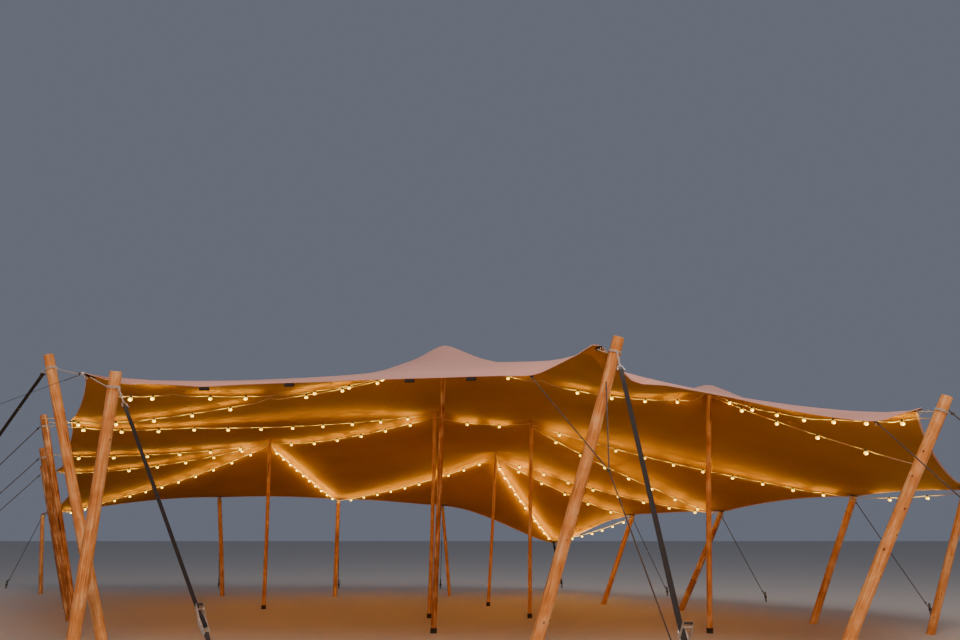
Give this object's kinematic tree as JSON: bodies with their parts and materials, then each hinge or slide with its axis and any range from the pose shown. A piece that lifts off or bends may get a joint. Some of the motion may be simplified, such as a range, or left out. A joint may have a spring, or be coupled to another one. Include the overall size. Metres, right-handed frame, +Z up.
{
  "type": "stretch tent with wooden poles and festoon lamps",
  "caption": "Stretch tent: elastic cloth pushed up by leaning and inner wooden poles, held by ratchet straps and guy ropes to stakes, hung with festoon lamps.",
  "frame": {"origin": "centre of the main pole's foot, on the ground under the higher front peak", "axes": "+Z up, +X along the open front towards the right end, +Y from the front to the back"},
  "size_m": [20.3778, 14.2351, 4.2925],
  "materials": {
    "stretch_cloth": "sand-coloured coated stretch knit, matt",
    "peeled_log": "peeled and oiled eucalyptus poles with knots",
    "black_webbing": "woven black polyester webbing",
    "guy_rope": "dark braided polyester rope",
    "zinc_steel": "zinc-plated pressed steel",
    "festoon_lamps": "warm lamps on black rubber cable"
  },
  "bodies": {
    "root": {"canopy_panel_1": "stretch_cloth", "canopy_panel_2": "stretch_cloth", "canopy_panel_3": "stretch_cloth", "canopy_panel_4": "stretch_cloth", "front_left_pole": "peeled_log", "front_left_prop": "peeled_log", "front_right_pole": "peeled_log", "right_front_pole": "peeled_log", "left_pole_1": "peeled_log", "left_pole_2": "peeled_log", "left_pole_3": "peeled_log", "back_left_pole": "peeled_log", "back_pole_1": "peeled_log", "back_pole_2": "peeled_log", "back_pole_3": "peeled_log", "right_pole_4": "peeled_log", "right_pole_3": "peeled_log", "right_pole_2": "peeled_log", "right_pole_1": "peeled_log", "main_pole": "peeled_log", "right_peak_pole": "peeled_log", "inner_pole_left": "peeled_log", "inner_pole_middle": "peeled_log", "inner_pole_right": "peeled_log", "inner_pole_back": "peeled_log", "front_left_strap": "black_webbing", "front_left_prop_strap": "black_webbing", "front_right_strap": "black_webbing", "corner_strap": "black_webbing", "back_corner_strap": "black_webbing", "right_front_guy": "guy_rope", "left_guy_1": "guy_rope", "left_guy_2": "guy_rope", "left_guy_3": "guy_rope", "back_left_guy": "guy_rope", "back_guy_1": "guy_rope", "back_guy_2": "guy_rope", "back_guy_3": "guy_rope", "right_guy_4": "guy_rope", "right_guy_3": "guy_rope", "right_guy_2": "guy_rope", "right_guy_1": "guy_rope", "front_edge_rope": "guy_rope", "right_edge_rope": "guy_rope", "festoon_front": "festoon_lamps", "festoon_left_front": "festoon_lamps", "festoon_left_upper": "festoon_lamps", "festoon_left_middle": "festoon_lamps", "festoon_left_back": "festoon_lamps", "festoon_back": "festoon_lamps", "festoon_back_corner": "festoon_lamps", "festoon_back_right": "festoon_lamps", "festoon_right_back": "festoon_lamps", "festoon_right_middle": "festoon_lamps", "festoon_right": "festoon_lamps", "festoon_right_front": "festoon_lamps"},
    "front_left_ratchet": {"front_left_ratchet_handle": "zinc_steel"},
    "front_right_ratchet": {"front_right_ratchet_handle": "zinc_steel"}
  },
  "joints": [
    {"name": "front_left_ratchet_swing", "type": "hinge", "parent": "root", "child": "front_left_ratchet", "pos_m": [-1.78989, -4.24523, 0.64], "axis": [0.4144, 0.9101, 0], "range_deg": [0, 140]},
    {"name": "front_right_ratchet_swing", "type": "hinge", "parent": "root", "child": "front_right_ratchet", "pos_m": [2.24896, -5.10115, 0.64], "axis": [0.9975, 0.0702, 0], "range_deg": [-60, 80]}
  ]
}
